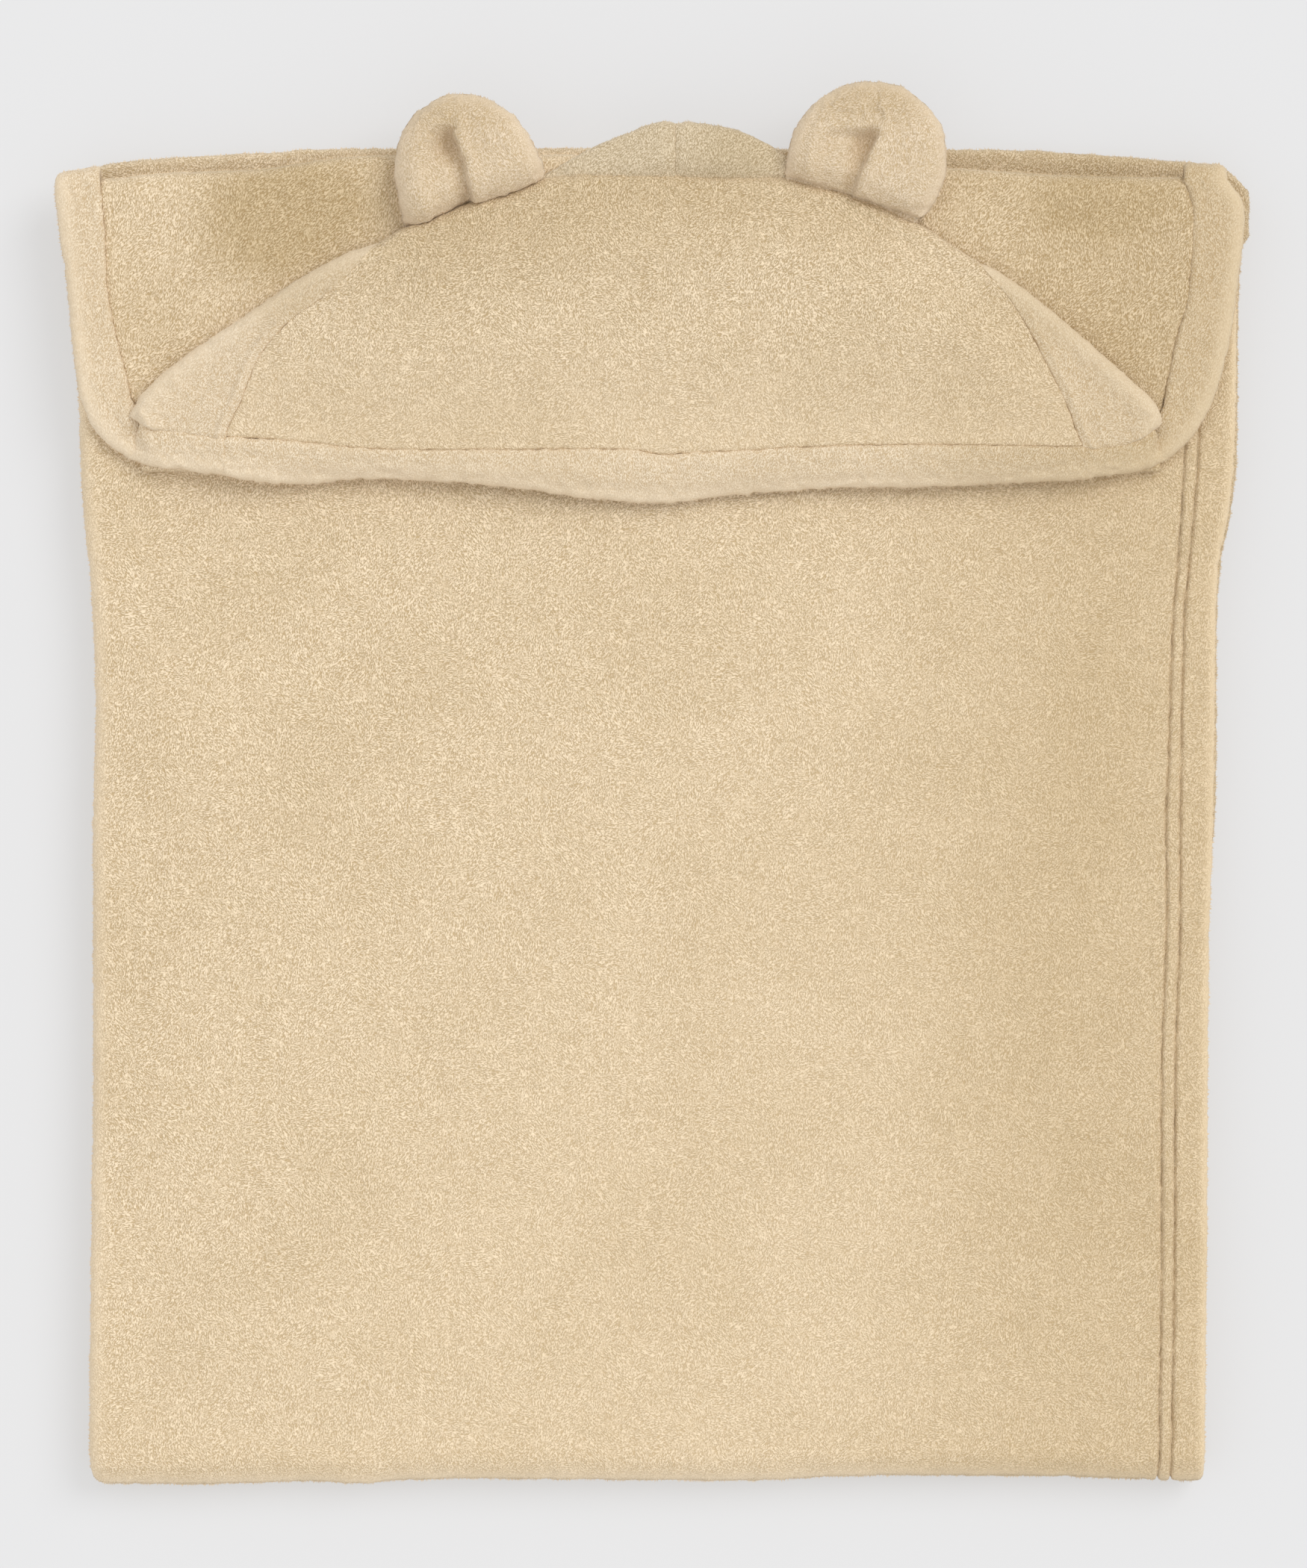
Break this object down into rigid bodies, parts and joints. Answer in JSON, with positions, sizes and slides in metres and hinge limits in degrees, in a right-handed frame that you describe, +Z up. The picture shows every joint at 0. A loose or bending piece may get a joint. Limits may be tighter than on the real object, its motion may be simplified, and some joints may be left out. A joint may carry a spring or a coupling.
{
  "type": "hooded baby towel",
  "caption": "Folded fleece baby towel with a round-eared hood turned forward over its front, hinged at its folds and seams.",
  "frame": {"origin": "on the table, under the middle of the folded towel's bounding box", "axes": "+X to the towel's right as seen from above with the hood at the top, +Y towards the hood's crown, +Z up off the table"},
  "size_m": [0.4064, 0.4739, 0.0387],
  "materials": {
    "fleece": "dense short coral-fleece pile, pale sand, matt with a soft sheen",
    "fleece_hem": "the same fleece turned under twice at a hem, a little paler",
    "thread": "polyester sewing thread sunk in the pile"
  },
  "bodies": {
    "root": {"back_outer_ply": "fleece", "back_inner_ply": "fleece", "back_outer_side_hem": "fleece_hem", "back_inner_side_hem": "fleece_hem", "back_left_fold": "fleece", "lower_hem_outer": "fleece_hem", "lower_hem_inner": "fleece_hem", "bottom_fold_outer": "fleece", "bottom_fold_inner": "fleece"},
    "front_leaf": {"front_outer_ply": "fleece", "front_inner_ply": "fleece", "front_outer_side_hem": "fleece_hem", "front_inner_side_hem": "fleece_hem", "front_left_fold": "fleece", "front_hem_stitch_outer_row": "thread", "front_hem_stitch_inner_row": "thread"},
    "hood_section": {"yoke_panel": "fleece", "yoke_side_hem_left": "fleece_hem", "yoke_side_hem_right": "fleece_hem", "yoke_hem_stitch_left": "thread", "yoke_hem_stitch_right": "thread", "top_fold": "fleece", "hood_back_left": "fleece", "hood_back_right": "fleece", "hood_back_seam_thread": "thread"},
    "hood_front": {"hood_front_panel": "fleece", "hood_front_hem": "fleece_hem", "hood_hem_stitch": "thread"},
    "cheek_left": {"cheek_left_panel": "fleece", "cheek_left_hem": "fleece_hem"},
    "cheek_right": {"cheek_right_panel": "fleece", "cheek_right_hem": "fleece_hem"},
    "ear_left": {"ear_left_back": "fleece", "ear_left_front": "fleece_hem"},
    "ear_right": {"ear_right_back": "fleece", "ear_right_front": "fleece_hem"}
  },
  "joints": [
    {"name": "front_leaf_fold", "type": "hinge", "parent": "root", "child": "front_leaf", "pos_m": [0, -0.2277, 0.0096], "axis": [1, 0, 0], "range_deg": [0, 160], "deforming": ["bottom_fold_outer", "bottom_fold_inner"]},
    {"name": "hood_fold", "type": "hinge", "parent": "front_leaf", "child": "hood_section", "pos_m": [0, 0.201, 0.0195], "axis": [-1, 0, 0], "range_deg": [0, 40], "deforming": ["top_fold"]},
    {"name": "hood_mouth", "type": "hinge", "parent": "hood_section", "child": "hood_front", "pos_m": [0, 0.204, 0.03565], "axis": [-1, 0, 0], "range_deg": [0, 8]},
    {"name": "cheek_left_fold", "type": "hinge", "parent": "hood_section", "child": "cheek_left", "pos_m": [-0.135, 0.15645, 0.0334], "axis": [-0.8376, -0.5463, 0], "range_deg": [0, 24]},
    {"name": "cheek_right_fold", "type": "hinge", "parent": "hood_section", "child": "cheek_right", "pos_m": [0.141, 0.15115, 0.0334], "axis": [-0.7701, 0.6379, 0], "range_deg": [0, 25]},
    {"name": "ear_left_seam", "type": "hinge", "parent": "hood_section", "child": "ear_left", "pos_m": [-0.06075, 0.1965, 0.0379], "axis": [0.9437, 0.3307, 0], "range_deg": [0, 75], "stiffness_Nm_per_rad": 0.01},
    {"name": "ear_right_seam", "type": "hinge", "parent": "hood_section", "child": "ear_right", "pos_m": [0.067, 0.1979, 0.0379], "axis": [0.9439, -0.3303, 0], "range_deg": [0, 75], "stiffness_Nm_per_rad": 0.01}
  ],
  "couplings": [
    {"joint": "cheek_left_fold", "follows": "hood_mouth", "ratio": 2.8},
    {"joint": "cheek_right_fold", "follows": "hood_mouth", "ratio": 3}
  ]
}
